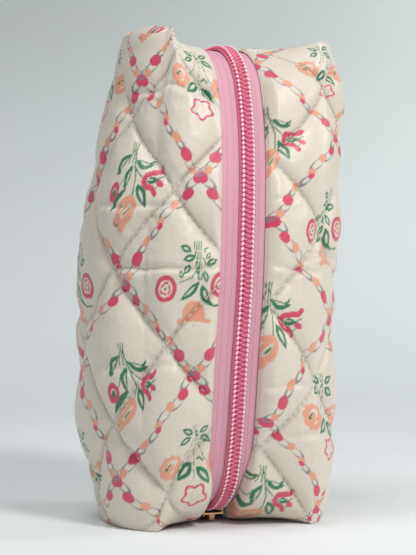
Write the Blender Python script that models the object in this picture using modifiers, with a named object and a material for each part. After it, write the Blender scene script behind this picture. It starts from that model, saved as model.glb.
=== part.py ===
"""A quilted box makeup bag standing on one end, its zip up the front. Metres, +Z up, front at -Y.

The zip lies on one path in the plane x = 0: along the bottom end, round a corner arc, up a
shallow front arc, round the top corner arc and back along the top end. The cloth layers, the
tapes and the coils are all laid out from that path.
"""

import math

import bmesh
import bpy
from mathutils import Euler, Matrix, Vector

MM = 0.001

# The bag's outer size
HEIGHT = 200 * MM
HALF_WIDTH = 50 * MM
HALF_DEPTH = 42 * MM
ROUNDNESS = 2.8          # superellipse exponent of the level sections
END_ROUNDNESS = 7.0      # exponent of the turn from the sides to the ends
TAPERS = {               # how much narrower each side is at the top and at the bottom
    "left": (0.24, 0.10),
    "right": (0.03, 0.03),
}

# The zip's path, on the outer face of the tapes
FRONT_RADIUS = 198 * MM  # shallow arc up the front
FRONT_APEX = 41.8 * MM   # its most forward point, ahead of x = y = 0
CORNER_RADIUS = 28 * MM
ZIP_RISE = 6.6 * MM      # height of the zip above the surface the bag stands on
ZIP_END = 13.7 * MM      # how far behind y = 0 the zip runs into the end seam
CLOTH_ABOVE = 3.4 * MM   # the quilt's outer face stands this far above the tapes
ZIP_BAND = 17 * MM       # the cloth follows the zip's path up to this distance from it
FREE_BAND = 40 * MM      # and is free of it from here on
BACK_SHIFT = FRONT_APEX + CLOTH_ABOVE - HALF_DEPTH   # sets the box form back, to centre the outline

# The cloth layers, as depths below the outer face: start, thickness
SATIN = (0.0, 0.8 * MM)
WADDING = (1.1 * MM, 1.2 * MM)
LINING = (5.0 * MM, 0.8 * MM)
SLOT_HALF = 10.5 * MM    # half the gap between the cloth edges, where the zip shows

# The mouth: two front panels that fold outwards
HINGE_U = 10 / 12        # place of the fold line on the front, as a share of the half width
MOUTH_W = 8 / 14         # the panels' upper and lower edges, as a share of the half height
PANEL_GAP = 1.4 * MM     # between a panel and the cloth round it

# The zip chain
TAPE_HALF_GAP = 0.8 * MM
TAPE_OUTER = 14.5 * MM
TAPE_THICK = 0.7 * MM
COIL_INNER = 1.0 * MM
COIL_OUTER = 3.1 * MM
COIL_LIFT = 0.3 * MM
COIL_THICK = 2.0 * MM

# The bindings of the seams inside
BINDING_MIDDLE = -2 * MM
BINDING_REACH = 25 * MM
BINDING_TALL = 7 * MM
BINDING_THICK = 1.6 * MM
CORNER_SEAM_X = 29 * MM

# The slider
BLADE_LENGTH = 11.5 * MM
BLADE_WIDTH = 9.0 * MM
BLADE_THICK = 1.0 * MM
BLADE_CLEAR = 0.35 * MM
INNER_BLADE_TOP = -1.7 * MM
FLANGE_THICK = 0.9 * MM
POST_WIDTH = 1.0 * MM
BRIDGE_WIDTH = 2.2 * MM
BRIDGE_THICK = 0.8 * MM
PULL_THICK = 1.0 * MM
PULL_LENGTH = 22 * MM
PULL_WIDTH = 8.0 * MM
EYE_LENGTH = 5.2 * MM

GRID = (12, 8, 14)       # grid squares of the body along X, Y and Z
END_SHARE = 5 / 4        # the zip runs this far across the ends of the grid's cube

COLOURS = {
    "satin": ((0.80, 0.74, 0.66, 1), 0.45, 0.0),
    "wadding": ((0.92, 0.92, 0.90, 1), 0.9, 0.0),
    "lining": ((0.86, 0.60, 0.66, 1), 0.6, 0.0),
    "zip_tape": ((0.85, 0.52, 0.62, 1), 0.6, 0.0),
    "zip_coil": ((0.78, 0.25, 0.42, 1), 0.35, 0.0),
    "binding": ((0.93, 0.91, 0.87, 1), 0.7, 0.0),
    "slider_metal": ((0.80, 0.58, 0.30, 1), 0.28, 1.0),
}


# ---------------------------------------------------------------- the zip's path


def corner_angle():
    """The angle where the corner arc meets the front arc, from level."""
    drop = (HEIGHT / 2 - ZIP_RISE - CORNER_RADIUS) / (FRONT_RADIUS - CORNER_RADIUS)
    return math.pi / 2 - math.asin(drop)


CORNER_TURN = corner_angle()
CORNER_FORWARD = FRONT_APEX - FRONT_RADIUS + (FRONT_RADIUS - CORNER_RADIUS) * math.sin(CORNER_TURN)
CORNER_HEIGHT = ZIP_RISE + CORNER_RADIUS
STRAIGHT = CORNER_FORWARD + ZIP_END
CORNER_ARC = CORNER_RADIUS * CORNER_TURN
FRONT_ARC = FRONT_RADIUS * (math.pi / 2 - CORNER_TURN)
HALF_PATH = FRONT_ARC + CORNER_ARC + STRAIGHT
COIL_HALF = HALF_PATH - 1.5 * MM           # the coils stop short of the end seams
EDGE_RUN = FRONT_ARC + 0.62 * CORNER_ARC   # where the front turns into the ends


def path_point(run):
    """(forward, height, angle) of the zip's path. run is the distance from mid height, up positive.

    angle is the outward direction, measured from straight down for the lower half.
    """
    distance = abs(run)
    if distance <= FRONT_ARC:
        tilt = distance / FRONT_RADIUS
        forward = FRONT_APEX - FRONT_RADIUS + FRONT_RADIUS * math.cos(tilt)
        height = HEIGHT / 2 - FRONT_RADIUS * math.sin(tilt)
        angle = math.pi / 2 - tilt
    elif distance <= FRONT_ARC + CORNER_ARC:
        angle = CORNER_TURN - (distance - FRONT_ARC) / CORNER_RADIUS
        forward = CORNER_FORWARD + CORNER_RADIUS * math.sin(angle)
        height = CORNER_HEIGHT - CORNER_RADIUS * math.cos(angle)
    else:
        angle = 0.0
        forward = CORNER_FORWARD - (distance - FRONT_ARC - CORNER_ARC)
        height = ZIP_RISE
    if run > 0:
        height = HEIGHT - height
        angle = math.pi - angle
    return forward, height, angle


def on_path(x, run, lift):
    """A point beside the path: x across, lift outwards from the tapes' outer face."""
    forward, height, angle = path_point(run)
    forward += lift * math.sin(angle)
    height -= lift * math.cos(angle)
    return Vector((x, -forward, height))


# ---------------------------------------------------------------- the cloth's outer face


def smooth(share):
    share = min(1.0, max(0.0, share))
    return share * share * (3 - 2 * share)


def free_face(u, v, w):
    """The box form of the bag without its zip, from a point of the cube -1..1."""
    reach = max(abs(u), abs(v))
    spread = (abs(u) ** ROUNDNESS + abs(v) ** ROUNDNESS) ** (1 / ROUNDNESS)
    ring = reach / spread if spread > 1e-9 else 1.0
    turn = (reach**END_ROUNDNESS + abs(w) ** END_ROUNDNESS) ** (-1 / END_ROUNDNESS)
    turn = min(turn, 1.0)
    top, bottom = TAPERS["left" if u < 0 else "right"]
    taper = 1 - (top if w > 0 else bottom) * w * w
    x = HALF_WIDTH * u * ring * turn * taper
    y = HALF_DEPTH * v * ring * turn + BACK_SHIFT
    height = HEIGHT / 2 * (1 + w * turn * 2 ** (1 / END_ROUNDNESS))
    height = min(HEIGHT, max(0.0, height))
    return Vector((x, y, height))


def run_at(v, w):
    """Where a grid line of the front (by w) or of an end (by v) crosses the zip's path."""
    if v <= -1 + 1e-6:
        return w * EDGE_RUN
    return math.copysign(EDGE_RUN + (1 + v) * (HALF_PATH - EDGE_RUN) / END_SHARE, w)


def cloth_face(point):
    """The outer face of the quilt for a point of the cube."""
    u, v, w = point
    free = free_face(u, v, w)
    on_front_or_end = v <= -1 + 1e-6 or abs(w) >= 1 - 1e-6
    if not on_front_or_end:
        return free
    level = HALF_WIDTH * u
    x = level + (free.x - level) * smooth((abs(level) - SLOT_HALF) / ZIP_BAND)
    near = 1 - smooth((abs(level) - ZIP_BAND) / (FREE_BAND - ZIP_BAND))
    if v > -1:
        near *= 1 - smooth((v - 0.75) / 0.25)
    drawn = on_path(x, run_at(v, w), CLOTH_ABOVE)
    if v > END_SHARE - 1:
        drawn.y = free.y
    face = free.lerp(drawn, near)
    face.x = x
    return face


def stretch_w(w):
    """Draws the grid lines together towards the ends, where the front turns."""
    return math.copysign(1 - max(0.0, 1 - abs(w)) ** 1.4, w)


def stretch_u(u):
    """Moves the first grid line beside the middle onto the slot's edge."""
    line, edge = 2 / GRID[0], SLOT_HALF / HALF_WIDTH
    if abs(u) <= line:
        return u * edge / line
    return math.copysign(edge + (abs(u) - line) * (1 - edge) / (1 - line), u)


# ---------------------------------------------------------------- building helpers


def material(name):
    if name in bpy.data.materials:
        return bpy.data.materials[name]
    made = bpy.data.materials.new(name)
    made.use_nodes = True
    colour, roughness, metallic = COLOURS[name]
    shader = made.node_tree.nodes["Principled BSDF"]
    shader.inputs["Base Color"].default_value = colour
    shader.inputs["Roughness"].default_value = roughness
    shader.inputs["Metallic"].default_value = metallic
    return made


def add_object(name, bm, slot):
    mesh = bpy.data.meshes.new(name)
    bm.to_mesh(mesh)
    bm.free()
    mesh.materials.append(material(slot))
    obj = bpy.data.objects.new(name, mesh)
    BAG.objects.link(obj)
    return obj


def cube_grid():
    """A cube from -1 to 1 whose faces are grids, with its corners welded."""
    bm = bmesh.new()
    nx, ny, nz = GRID
    turns = (
        (nx, ny, (0, 0, 0)),
        (nx, ny, (math.pi, 0, 0)),
        (nx, nz, (math.pi / 2, 0, 0)),
        (nx, nz, (-math.pi / 2, 0, 0)),
        (nz, ny, (0, math.pi / 2, 0)),
        (nz, ny, (0, -math.pi / 2, 0)),
    )
    for across, along, turn in turns:
        place = Euler(turn).to_matrix().to_4x4() @ Matrix.Translation((0, 0, 1))
        bmesh.ops.create_grid(bm, x_segments=across, y_segments=along, size=1, matrix=place)
    bmesh.ops.remove_doubles(bm, verts=bm.verts, dist=1e-4)
    return bm


def in_slot(centre):
    """True for a grid square of the gap where the zip runs."""
    at_end = abs(centre.z) > 0.999 and centre.y < END_SHARE - 1
    return abs(centre.x) < 2 / GRID[0] and (centre.y < -0.999 or at_end)


def in_mouth(centre):
    """True for a grid square that belongs to a front panel."""
    return centre.y < -0.999 and abs(centre.x) < HINGE_U and abs(centre.z) < MOUTH_W


def sink(bm, depth):
    """Moves an open or closed sheet inwards along its normals."""
    bm.normal_update()
    moves = [(vertex, vertex.normal * depth) for vertex in bm.verts]
    for vertex, move in moves:
        vertex.co -= move


def thicken(obj, thickness):
    solid = obj.modifiers.new("thickness", "SOLIDIFY")
    solid.thickness = thickness
    solid.offset = -1
    return obj


def in_body(centre):
    return not in_slot(centre) and not in_mouth(centre)


def in_left_panel(centre):
    return in_mouth(centre) and not in_slot(centre) and centre.x < 0


def in_right_panel(centre):
    return in_mouth(centre) and not in_slot(centre) and centre.x > 0


def drawn_in(place, gap):
    """The (u, v, w) of a grid point, with the mouth's outline drawn in by a gap."""
    u, w = stretch_u(place.x), stretch_w(place.z)
    if place.y < -0.999:
        if abs(abs(place.x) - HINGE_U) < 1e-4:
            u -= math.copysign(gap / HALF_WIDTH, u)
        if abs(abs(place.z) - MOUTH_W) < 1e-4:
            w -= math.copysign(gap / EDGE_RUN, w)
    return u, place.y, w


def cloth_piece(name, layer, slot, wanted, gap):
    """The part of one cloth layer whose grid squares are wanted."""
    bm = cube_grid()
    bmesh.ops.recalc_face_normals(bm, faces=bm.faces)
    unwanted = [face for face in bm.faces if not wanted(face.calc_center_median())]
    for vertex in bm.verts:
        vertex.co = cloth_face(drawn_in(vertex.co, gap))
    sink(bm, layer[0])
    bmesh.ops.delete(bm, geom=unwanted, context="FACES")
    return thicken(add_object(name, bm, slot), layer[1])


def zip_strip(name, inner, outer, lift, thickness, runs, slot):
    """A strip along the zip's path, from x = inner to outer, its outer face at the given lift."""
    bm = bmesh.new()
    rows = [[bm.verts.new(on_path(x, run, lift)) for x in sorted((inner, outer))] for run in runs]
    for below, above in zip(rows, rows[1:]):
        bm.faces.new((below[0], below[1], above[1], above[0]))
    return thicken(add_object(name, bm, slot), thickness)


def bevelled_box(bm, low, high, bevel):
    """A box between two corners with its edges rounded off."""
    low, high = Vector(low), Vector(high)
    place = Matrix.Translation((low + high) / 2) @ Matrix.Diagonal((high - low)).to_4x4()
    made = bmesh.ops.create_cube(bm, size=1, matrix=place)
    edges = {edge for vertex in made["verts"] for edge in vertex.link_edges}
    bmesh.ops.bevel(bm, geom=list(edges), offset=bevel, segments=2, affect="EDGES", profile=0.5)


def box_object(name, low, high, bevel, slot):
    bm = bmesh.new()
    bevelled_box(bm, low, high, bevel)
    return add_object(name, bm, slot)


def join(target, others):
    """Unites overlapping solids into one, and removes the pieces used."""
    for other in others:
        union = target.modifiers.new("union", "BOOLEAN")
        union.operation = "UNION"
        union.object = other
        other.hide_render = True
        other.display_type = "WIRE"
        BAG.objects.unlink(other)
        CUTTERS.objects.link(other)


# ---------------------------------------------------------------- the pieces


def make_cloth():
    for name, layer, slot in (
        ("satin", SATIN, "satin"),
        ("wadding", WADDING, "wadding"),
        ("lining", LINING, "lining"),
    ):
        cloth_piece(name + "_body", layer, slot, in_body, 0.0)
        cloth_piece(name + "_front_left", layer, slot, in_left_panel, PANEL_GAP)
        cloth_piece(name + "_front_right", layer, slot, in_right_panel, PANEL_GAP)


def make_zip():
    """Tapes and coils: a stretch on each front panel, and one round each end of the bag."""
    half = GRID[2] // 2
    mouth = round(MOUTH_W * half)
    front = [run_at(-1, stretch_w(line / half)) for line in range(-mouth, mouth + 1)]
    front[0] += PANEL_GAP
    front[-1] -= PANEL_GAP
    end = [run_at(-1, stretch_w(line / half)) for line in range(mouth, half + 1)]
    end += [run_at(-1 + 2 * line / GRID[1], 1) for line in range(1, round(END_SHARE * GRID[1] / 2) + 1)]
    stretches = (("front", front), ("top_end", end), ("bottom_end", [-run for run in reversed(end)]))
    for side, word in ((-1, "left"), (1, "right")):
        for stretch, runs in stretches:
            zip_strip(f"zip_tape_{word}_{stretch}", side * TAPE_HALF_GAP, side * TAPE_OUTER,
                      0.0, TAPE_THICK, runs, "zip_tape")
            seen = [max(-COIL_HALF, min(COIL_HALF, run)) for run in runs]
            zip_strip(f"zip_coil_{word}_{stretch}", side * COIL_INNER, side * COIL_OUTER,
                      COIL_LIFT + COIL_THICK, COIL_THICK, seen, "zip_coil")


def make_bindings():
    """Cloth tapes that bind the raw edges inside: one along each end seam, one at each corner seam."""
    foot = ZIP_RISE + 5 * MM
    back = ZIP_END + 1 * MM
    for word, low, inwards in (("bottom", foot, 1), ("top", HEIGHT - foot - BINDING_TALL, -1)):
        box_object(f"end_seam_binding_{word}",
                   (BINDING_MIDDLE - BINDING_REACH, back, low),
                   (BINDING_MIDDLE + BINDING_REACH, back + BINDING_THICK, low + BINDING_TALL),
                   0.4 * MM, "binding")
        corner_low = low + inwards * 3 * MM
        for side, hand in ((-1, "left"), (1, "right")):
            x = BINDING_MIDDLE + side * CORNER_SEAM_X
            box_object(f"corner_seam_binding_{word}_{hand}",
                       (x - BINDING_THICK / 2, -13 * MM, corner_low),
                       (x + BINDING_THICK / 2, 21 * MM, corner_low + BINDING_TALL),
                       0.4 * MM, "binding")


def make_slider():
    """The slider on the bottom end, its nose to the end seam, and its hinged pull.

    It is built in place: +Y is towards the nose, and outwards is down.
    """
    centre_y = -CORNER_FORWARD
    zero = ZIP_RISE
    blade_under = COIL_LIFT + COIL_THICK + BLADE_CLEAR
    half = BLADE_LENGTH / 2

    def block(name, x_half, y_from, y_to, out_from, out_to, bevel):
        return box_object(name,
                          (-x_half, centre_y + y_from, zero - out_to),
                          (x_half, centre_y + y_to, zero - out_from), bevel, "slider_metal")

    body = block("slider_body", BLADE_WIDTH / 2, -half, half,
                 blade_under, blade_under + BLADE_THICK, 0.3 * MM)
    inner = block("inner_blade", BLADE_WIDTH / 2 - 0.4 * MM, -half, half,
                  INNER_BLADE_TOP - BLADE_THICK, INNER_BLADE_TOP, 0.3 * MM)
    post = block("post", POST_WIDTH / 2, half - 4.0 * MM, half - 0.8 * MM,
                 INNER_BLADE_TOP - 0.5 * MM, blade_under + 0.5 * MM, 0.15 * MM)
    flanges = []
    for side in (-1, 1):
        outside = side * BLADE_WIDTH / 2
        low_x, high_x = sorted((outside - side * FLANGE_THICK, outside - side * 0.05 * MM))
        flanges.append(box_object(f"flange_{side}",
                                  (low_x, centre_y - half + 0.3 * MM, zero - blade_under - 0.5 * MM),
                                  (high_x, centre_y + half - 0.3 * MM, zero - 0.5 * MM),
                                  0.15 * MM, "slider_metal"))
    blade_top = blade_under + BLADE_THICK
    roof = blade_top + PULL_THICK + 0.75 * MM
    bridge = block("bridge", BRIDGE_WIDTH / 2, -4.2 * MM, 4.2 * MM,
                   roof, roof + BRIDGE_THICK, 0.2 * MM)
    legs = [block(f"leg_{number}", BRIDGE_WIDTH / 2, y_from, y_from + 1.1 * MM,
                  blade_top - 0.5 * MM, roof + 0.4 * MM, 0.15 * MM)
            for number, y_from in enumerate((-4.1 * MM, 3.0 * MM))]
    join(body, [inner, post, *flanges, bridge, *legs])

    pull_plate(centre_y, zero - blade_top - PULL_THICK / 2 - 0.38 * MM)


def pull_plate(axis_y, axis_z):
    """A flat pull whose eye rides round the bridge; it lies back along the bottom end."""
    outline = bpy.data.curves.new("pull_tab", "CURVE")
    outline.dimensions = "2D"
    outline.fill_mode = "BOTH"
    outline.extrude = PULL_THICK / 2
    outline.resolution_u = 6
    bar = 1.1 * MM
    eye_half = BRIDGE_WIDTH / 2 + 0.5 * MM
    neck = eye_half + bar
    half = PULL_WIDTH / 2
    cut = 2.4 * MM
    shoulder = EYE_LENGTH + 3 * MM
    right = [(neck, -bar / 2), (neck, EYE_LENGTH), (half, shoulder),
             (half, PULL_LENGTH - cut), (half - cut, PULL_LENGTH)]
    shape = right + [(-x, y) for x, y in reversed(right)]
    hole = [(-eye_half, bar / 2), (-eye_half, EYE_LENGTH), (eye_half, EYE_LENGTH), (eye_half, bar / 2)]
    for points in (shape, hole):
        spline = outline.splines.new("POLY")
        spline.points.add(len(points) - 1)
        for point, (x, y) in zip(spline.points, points):
            point.co = (x, y, 0, 1)
        spline.use_cyclic_u = True
    outline.materials.append(material("slider_metal"))
    drawn = bpy.data.objects.new("pull_outline", outline)
    BAG.objects.link(drawn)
    bpy.context.view_layer.update()
    flat = bpy.data.meshes.new_from_object(drawn.evaluated_get(bpy.context.evaluated_depsgraph_get()))
    bpy.data.objects.remove(drawn)
    bm = bmesh.new()
    bm.from_mesh(flat)
    bmesh.ops.remove_doubles(bm, verts=bm.verts, dist=1e-6)
    pull = add_object("pull_tab", bm, "slider_metal")
    pull.location = (0, axis_y, axis_z)
    return pull


# ---------------------------------------------------------------- the scene

for old in list(bpy.data.objects):
    bpy.data.objects.remove(old)

BAG = bpy.data.collections.new("makeup_bag")
CUTTERS = bpy.data.collections.new("cutters")
bpy.context.scene.collection.children.link(BAG)
bpy.context.scene.collection.children.link(CUTTERS)
CUTTERS.hide_render = True

make_cloth()
make_zip()
make_bindings()
make_slider()
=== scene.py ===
"""How the makeup bag looks: quilted printed satin, a pink coil zip, a brass slider, soft daylight."""

import math

import bpy
import numpy as np
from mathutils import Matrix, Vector
from mathutils.kdtree import KDTree


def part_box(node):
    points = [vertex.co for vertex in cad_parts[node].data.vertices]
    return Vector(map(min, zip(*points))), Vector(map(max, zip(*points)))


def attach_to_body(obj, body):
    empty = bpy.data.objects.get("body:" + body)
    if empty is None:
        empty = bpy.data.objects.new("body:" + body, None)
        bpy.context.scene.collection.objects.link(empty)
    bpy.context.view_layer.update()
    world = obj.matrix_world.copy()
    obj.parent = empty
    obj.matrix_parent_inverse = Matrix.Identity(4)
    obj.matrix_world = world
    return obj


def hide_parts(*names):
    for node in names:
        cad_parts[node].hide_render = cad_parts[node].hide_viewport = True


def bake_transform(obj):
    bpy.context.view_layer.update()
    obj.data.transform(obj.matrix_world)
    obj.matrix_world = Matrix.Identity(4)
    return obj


MM = 0.001
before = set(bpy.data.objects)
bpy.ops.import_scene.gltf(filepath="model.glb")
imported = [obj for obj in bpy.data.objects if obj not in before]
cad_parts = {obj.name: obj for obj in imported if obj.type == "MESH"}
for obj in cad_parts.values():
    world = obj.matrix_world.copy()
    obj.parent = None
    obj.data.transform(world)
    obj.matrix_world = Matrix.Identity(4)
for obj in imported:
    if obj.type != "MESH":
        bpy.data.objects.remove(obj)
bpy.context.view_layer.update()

# ---- sizes

HEIGHT = 200 * MM
HALF_WIDTH = 50.4 * MM
HALF_DEPTH = 42 * MM
ROUNDNESS = 2.8
END_ROUNDNESS = 11.0
# For each side: (share of the width lost, height where the loss starts, height where it is whole).
TAPERS = (
    ((0.20, 118 * MM, 198 * MM), (0.10, 45 * MM, 10 * MM)),
    ((0.03, 175 * MM, 200 * MM), (0.05, 30 * MM, 0.0)),
)
SIDE_SHARES = (0.965, 1.03)  # the left side is a little narrower than the right
# How far the top end sags, from left to right, and how much more at its front left corner.
TOP_SAG = ((-1, -0.85, -0.2, 0.3, 1), (1.0 * MM, -2.6 * MM, 3.0 * MM, 4.5 * MM, 4.5 * MM))
FRONT_LEFT_SAG = 1.6 * MM
# The front sets back towards both ends: (how far, height where it starts, height where it is whole).
FRONT_LEANS = ((11 * MM, 120 * MM, 196 * MM), (7 * MM, 55 * MM, 5 * MM))

FRONT_RADIUS = 198 * MM
FRONT_APEX = 41.8 * MM
CORNER_RADIUS = 28 * MM
ZIP_RISE = 6.6 * MM
ZIP_END = 13.7 * MM
CLOTH_ABOVE = 3.4 * MM  # the cloth beside the zip above the tapes
CLOTH_LIFTS = (6.0 * MM, 1.4 * MM)  # the same at the bottom end and at the top end
ZIP_BAND = 8 * MM  # nearer the zip than this the cloth follows it
FREE_BAND = 47 * MM  # further than this it doesn't
BACK_SHIFT = FRONT_APEX + CLOTH_ABOVE - HALF_DEPTH
SLOT_HALF = 10.5 * MM
SLOT_EDGES = (10.4 * MM, 8.0 * MM)  # where the left and right cloth edges are, from the zip's middle
HINGE_U = 0.842  # where the front panels fold, as a share of the half width
END_SHARE = 5 / 4  # an end's seam, as a share of the half depth from the front
ON_SIDE = 1e-6  # how near 1 a cube coordinate is on a side of the cube

CORNER_TURN = math.acos((HEIGHT / 2 - ZIP_RISE - CORNER_RADIUS) / (FRONT_RADIUS - CORNER_RADIUS))
CORNER_FORWARD = FRONT_APEX - FRONT_RADIUS + (FRONT_RADIUS - CORNER_RADIUS) * math.sin(CORNER_TURN)
CORNER_HEIGHT = ZIP_RISE + CORNER_RADIUS
CORNER_ARC = CORNER_RADIUS * CORNER_TURN
FRONT_ARC = FRONT_RADIUS * (math.pi / 2 - CORNER_TURN)
HALF_PATH = FRONT_ARC + CORNER_ARC + CORNER_FORWARD + ZIP_END
EDGE_RUN = FRONT_ARC + 0.62 * CORNER_ARC

DETAIL = 1.0
GRID = tuple(int(2 * round(n * DETAIL / 2)) for n in (216, 168, 440))
HANDS = (("left", -1), ("right", 1))
STRETCHES = (("upper", 1), ("lower", -1))
LINING_GRID = (48, 40, 80)
LINING_DEPTH = 5.0 * MM
LINING_THICKNESS = 0.3 * MM


# ---- the form


def smooth(share):
    """Eases from 0 to 1."""
    share = np.clip(share, 0.0, 1.0)
    return share * share * (3 - 2 * share)


def ramps(height, changes):
    """The sum of changes, each (amount, height where it starts, height where it is whole)."""
    return sum(amount * smooth((height - start) / (full - start)) for amount, start, full in changes)


def is_front(v):
    return v <= -1 + ON_SIDE


def is_back(v):
    return v >= 1 - ON_SIDE


def is_end(w):
    return np.abs(w) >= 1 - ON_SIDE


def path_point(run):
    """(forward, height, angle) along the zip, as arrays; run is the distance from mid height."""
    distance = np.abs(run)
    tilt = distance / FRONT_RADIUS
    turn = CORNER_TURN - (distance - FRONT_ARC) / CORNER_RADIUS
    zones = [distance <= FRONT_ARC, distance <= FRONT_ARC + CORNER_ARC]
    on_front = FRONT_APEX - FRONT_RADIUS + FRONT_RADIUS * np.cos(tilt)
    on_corner = CORNER_FORWARD + CORNER_RADIUS * np.sin(turn)
    past_corner = CORNER_FORWARD - (distance - FRONT_ARC - CORNER_ARC)
    forward = np.select(zones, [on_front, on_corner], past_corner)
    on_front = HEIGHT / 2 - FRONT_RADIUS * np.sin(tilt)
    on_corner = CORNER_HEIGHT - CORNER_RADIUS * np.cos(turn)
    height = np.select(zones, [on_front, on_corner], ZIP_RISE)
    angle = np.select(zones, [math.pi / 2 - tilt, turn], 0.0)
    above = run > 0
    return forward, np.where(above, HEIGHT - height, height), np.where(above, math.pi - angle, angle)


def lean(height):
    """How far the bag's middle stands to +X: it leans over at the top and bellies left below."""
    over = 4.4 * MM * smooth((height - 105 * MM) / (80 * MM))
    belly = 1.9 * MM * np.exp(-(((height - 68 * MM) / (34 * MM)) ** 2))
    return over - belly


def cloth_lift(run):
    """How far the cloth beside the zip stands above the tapes."""
    low, high = CLOTH_LIFTS
    lift = CLOTH_ABOVE + (low - CLOTH_ABOVE) * smooth((-run - 60 * MM) / (35 * MM))
    return lift + (high - CLOTH_ABOVE) * smooth((run - 60 * MM) / (35 * MM))


def on_path(x, run, lift):
    """Points beside the zip's path: x across, lift outwards from the tapes' outer face."""
    forward, height, angle = path_point(run)
    height = height - lift * np.cos(angle)
    return np.stack([x + lean(height), -(forward + lift * np.sin(angle)), height], axis=-1)


def free_face(u, v, w):
    """The box form of the bag away from its zip, from points of the cube -1..1."""
    reach = np.maximum(np.abs(u), np.abs(v))
    spread = (np.abs(u) ** ROUNDNESS + np.abs(v) ** ROUNDNESS) ** (1 / ROUNDNESS)
    ring = np.where(spread > 1e-9, reach / np.maximum(spread, 1e-9), 1.0)
    turn = np.minimum((reach**END_ROUNDNESS + np.abs(w) ** END_ROUNDNESS) ** (-1 / END_ROUNDNESS), 1.0)
    y = HALF_DEPTH * v * ring * turn + BACK_SHIFT
    height = np.clip(HEIGHT / 2 * (1 + w * turn * 2 ** (1 / END_ROUNDNESS)), 0.0, HEIGHT)
    y += ramps(height, FRONT_LEANS) * smooth(0.5 - v) * (1 - 0.65 * smooth(u / 0.4))
    lost = [ramps(height, side) for side in TAPERS]
    x = HALF_WIDTH * u * ring * turn * (1 - np.where(u < 0, *lost)) * np.where(u < 0, *SIDE_SHARES)
    sag = np.interp(u, *TOP_SAG) + FRONT_LEFT_SAG * smooth(-v) * smooth(-u / 0.3)
    height = height - sag * smooth((height - 120 * MM) / (80 * MM))
    return np.stack([x + lean(height), y, height], axis=-1)


def run_at(v, w):
    """Where a grid line of the front (by w) or of an end (by v) crosses the zip's path."""
    on_end = EDGE_RUN + (1 + v) * (HALF_PATH - EDGE_RUN) / END_SHARE
    return np.where(is_front(v), w * EDGE_RUN, np.copysign(on_end, w))


def cloth_face(u, v, w):
    """The quilt's smooth outer face for points of the cube."""
    free = free_face(u, v, w)
    guided = is_front(v) | is_end(w)
    middle = lean(free[:, 2])
    level = HALF_WIDTH * u
    x = level + (free[:, 0] - middle - level) * smooth((np.abs(level) - SLOT_HALF) / (36 * MM))
    away = np.clip((np.abs(level) - ZIP_BAND) / (FREE_BAND - ZIP_BAND), 0, 1)
    near_end = smooth((np.abs(w) - 0.8) / 0.2)
    near = 1 - (0.6 * away + 0.4 * smooth(away)) ** (1 + 0.6 * near_end)
    near *= np.where(v > -1, 1 - smooth((v - 0.75) / 0.25), 1.0)
    run = run_at(v, w)
    drawn = on_path(x, run, cloth_lift(run))
    drawn[:, 1] = np.where(v > END_SHARE - 1, free[:, 1], drawn[:, 1])
    face = free + (drawn - free) * near[:, None]
    face[:, 0] = x + lean(face[:, 2])
    return np.where(guided[:, None], face, free)


def stretch_u(u):
    """Moves the twelfth-part grid lines beside the middle onto the slot's edges."""
    line, edge = 1 / 6, np.where(u < 0, *SLOT_EDGES) / HALF_WIDTH
    inner = u * edge / line
    outer = np.copysign(edge + (np.abs(u) - line) * (1 - edge) / (1 - line), u)
    return np.where(np.abs(u) <= line, inner, outer)


# ---- grids and meshes


def cube_shell(counts):
    """(points in -1..1, quads facing out) of a gridded cube with its sides welded."""
    corners = []
    for axis in range(3):
        first, second = [a for a in range(3) if a != axis]
        a, b = np.meshgrid(np.arange(counts[first]), np.arange(counts[second]), indexing="ij")
        for end in (0, counts[axis]):
            loop = []
            for da, db in ((0, 0), (1, 0), (1, 1), (0, 1)):
                point = np.zeros(a.shape + (3,), int)
                point[..., axis] = end
                point[..., first] = a + da
                point[..., second] = b + db
                loop.append(point.reshape(-1, 3))
            outward = (end > 0) == (axis != 1)
            corners.append(np.stack(loop if outward else loop[::-1], axis=1))
    corners = np.concatenate(corners)
    strides = np.array([1, counts[0] + 1, (counts[0] + 1) * (counts[1] + 1)])
    keys, places = np.unique((corners @ strides).ravel(), return_inverse=True)
    steps = [keys % strides[1], keys // strides[1] % (counts[1] + 1), keys // strides[2]]
    return np.stack(steps, axis=1) / np.array(counts) * 2 - 1, places.reshape(-1, 4)


def vertex_normals(points, quads):
    """Area-weighted normals of a quad mesh."""
    a, b, c, d = (points[quads[:, n]] for n in range(4))
    flat = np.cross(c - a, d - b)
    normals = np.zeros_like(points)
    for n in range(4):
        for axis in range(3):
            normals[:, axis] += np.bincount(quads[:, n], weights=flat[:, axis], minlength=len(points))
    return normals / np.maximum(np.linalg.norm(normals, axis=1), 1e-12)[:, None]


def add_object(name, data):
    made = bpy.data.objects.new(name, data)
    bpy.context.scene.collection.objects.link(made)
    return made


def mesh_object(name, points, quads, surface, colours=None, normals=None):
    """A smooth quad mesh from arrays, without the points that no quad uses."""
    used, quads = np.unique(quads, return_inverse=True)
    quads = quads.reshape(-1, 4)
    mesh = bpy.data.meshes.new(name)
    mesh.vertices.add(len(used))
    mesh.vertices.foreach_set("co", points[used].astype(np.float32).ravel())
    mesh.loops.add(quads.size)
    mesh.loops.foreach_set("vertex_index", quads.astype(np.int32).ravel())
    mesh.polygons.add(len(quads))
    mesh.polygons.foreach_set("loop_start", np.arange(0, quads.size, 4, dtype=np.int32))
    mesh.update(calc_edges=True)
    mesh.shade_smooth()
    if colours is not None:
        layer = mesh.color_attributes.new("print", "FLOAT_COLOR", "POINT")
        filled = np.ones((len(used), 4), np.float32)
        filled[:, : colours.shape[1]] = colours[used]
        layer.data.foreach_set("color", filled.ravel())
    if normals is not None:
        mesh.normals_split_custom_set_from_vertices(normals[used])
    mesh.materials.append(surface)
    return add_object(name, mesh)


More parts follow.
